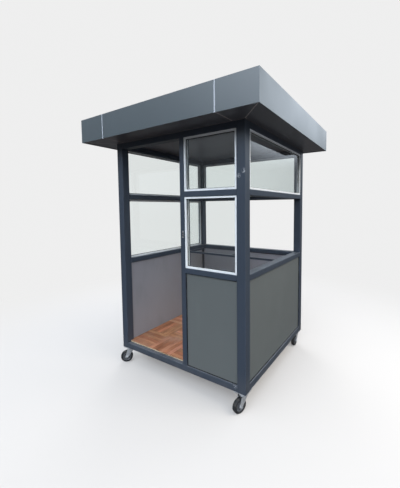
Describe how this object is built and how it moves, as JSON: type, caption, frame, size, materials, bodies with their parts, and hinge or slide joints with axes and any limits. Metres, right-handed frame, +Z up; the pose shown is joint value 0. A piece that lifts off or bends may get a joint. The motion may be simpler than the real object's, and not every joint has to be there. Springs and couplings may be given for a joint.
{
  "type": "security guard booth",
  "caption": "Mobile guard booth: square-tube frame on swivel casters, doorway, glazed upper bays, open serving bays, flat overhanging roof and open desk frame.",
  "frame": {"origin": "on the ground under the middle of the roof's plan", "axes": "+Z up, +Y from the doorway side into the booth, +X to the right of the doorway as seen from outside"},
  "size_m": [2.01, 1.84, 2.5983],
  "materials": {
    "frame_paint": "satin dark blue-grey paint",
    "panel_sheet": "satin grey coated sheet",
    "fascia_sheet": "glossy grey composite sheet",
    "soffit_sheet": "glossy near-black composite sheet",
    "deck_sheet": "matt grey coated sheet",
    "window_frame": "white powder coat",
    "glass": "clear float glass",
    "board": "raw plywood",
    "parquet": "wood-look floor covering",
    "lock_steel": "brushed steel",
    "sealant": "pale grey silicone",
    "zinc": "zinc-plated steel",
    "tyre": "black rubber tyre on a grey core"
  },
  "bodies": {
    "booth": {"post_front_left": "frame_paint", "post_front_right": "frame_paint", "post_back_right": "frame_paint", "post_back_left": "frame_paint", "door_mullion": "frame_paint", "base_rails": "frame_paint", "top_beams": "frame_paint", "sill_rails": "frame_paint", "transoms": "frame_paint", "panel_front": "panel_sheet", "panel_right": "panel_sheet", "panel_back": "panel_sheet", "panel_left": "panel_sheet", "window_frames_front": "window_frame", "window_frame_right": "window_frame", "window_frame_back": "window_frame", "window_frames_left": "window_frame", "glass_front": "glass", "glass_right": "glass", "glass_back": "glass", "glass_left": "glass", "floor_joists": "frame_paint", "floor_board": "board", "floor_covering": "parquet", "desk_frame": "frame_paint", "lock_keep": "lock_steel", "ceiling_panel": "soffit_sheet", "soffit_panels": "soffit_sheet", "fascia_front": "fascia_sheet", "fascia_right": "fascia_sheet", "fascia_back": "fascia_sheet", "fascia_left": "fascia_sheet", "fascia_sealant": "sealant", "roof_deck": "deck_sheet", "caster_plates": "zinc"},
    "fork_front_left": {"caster_fork_front_left": "zinc"},
    "wheel_front_left": {"caster_wheel_front_left": "tyre"},
    "fork_front_right": {"caster_fork_front_right": "zinc"},
    "wheel_front_right": {"caster_wheel_front_right": "tyre"},
    "fork_back_right": {"caster_fork_back_right": "zinc"},
    "wheel_back_right": {"caster_wheel_back_right": "tyre"},
    "fork_back_left": {"caster_fork_back_left": "zinc"},
    "wheel_back_left": {"caster_wheel_back_left": "tyre"}
  },
  "joints": [
    {"name": "swivel_front_left", "type": "hinge", "parent": "booth", "child": "fork_front_left", "pos_m": [-0.715, -0.625, 0.15], "axis": [0, 0, 1], "continuous": true},
    {"name": "roll_front_left", "type": "hinge", "parent": "fork_front_left", "child": "wheel_front_left", "pos_m": [-0.7447, -0.6547, 0.0625], "axis": [0.7071, -0.7071, 0], "continuous": true},
    {"name": "swivel_front_right", "type": "hinge", "parent": "booth", "child": "fork_front_right", "pos_m": [0.715, -0.625, 0.15], "axis": [0, 0, 1], "continuous": true},
    {"name": "roll_front_right", "type": "hinge", "parent": "fork_front_right", "child": "wheel_front_right", "pos_m": [0.70064, -0.66447, 0.0625], "axis": [0.9397, -0.342, 0], "continuous": true},
    {"name": "swivel_back_right", "type": "hinge", "parent": "booth", "child": "fork_back_right", "pos_m": [0.715, 0.715, 0.15], "axis": [0, 0, 1], "continuous": true},
    {"name": "roll_back_right", "type": "hinge", "parent": "fork_back_right", "child": "wheel_back_right", "pos_m": [0.715, 0.673, 0.0625], "axis": [1, 0, 0], "continuous": true},
    {"name": "swivel_back_left", "type": "hinge", "parent": "booth", "child": "fork_back_left", "pos_m": [-0.715, 0.715, 0.15], "axis": [0, 0, 1], "continuous": true},
    {"name": "roll_back_left", "type": "hinge", "parent": "fork_back_left", "child": "wheel_back_left", "pos_m": [-0.736, 0.67863, 0.0625], "axis": [0.866, -0.5, 0], "continuous": true}
  ]
}
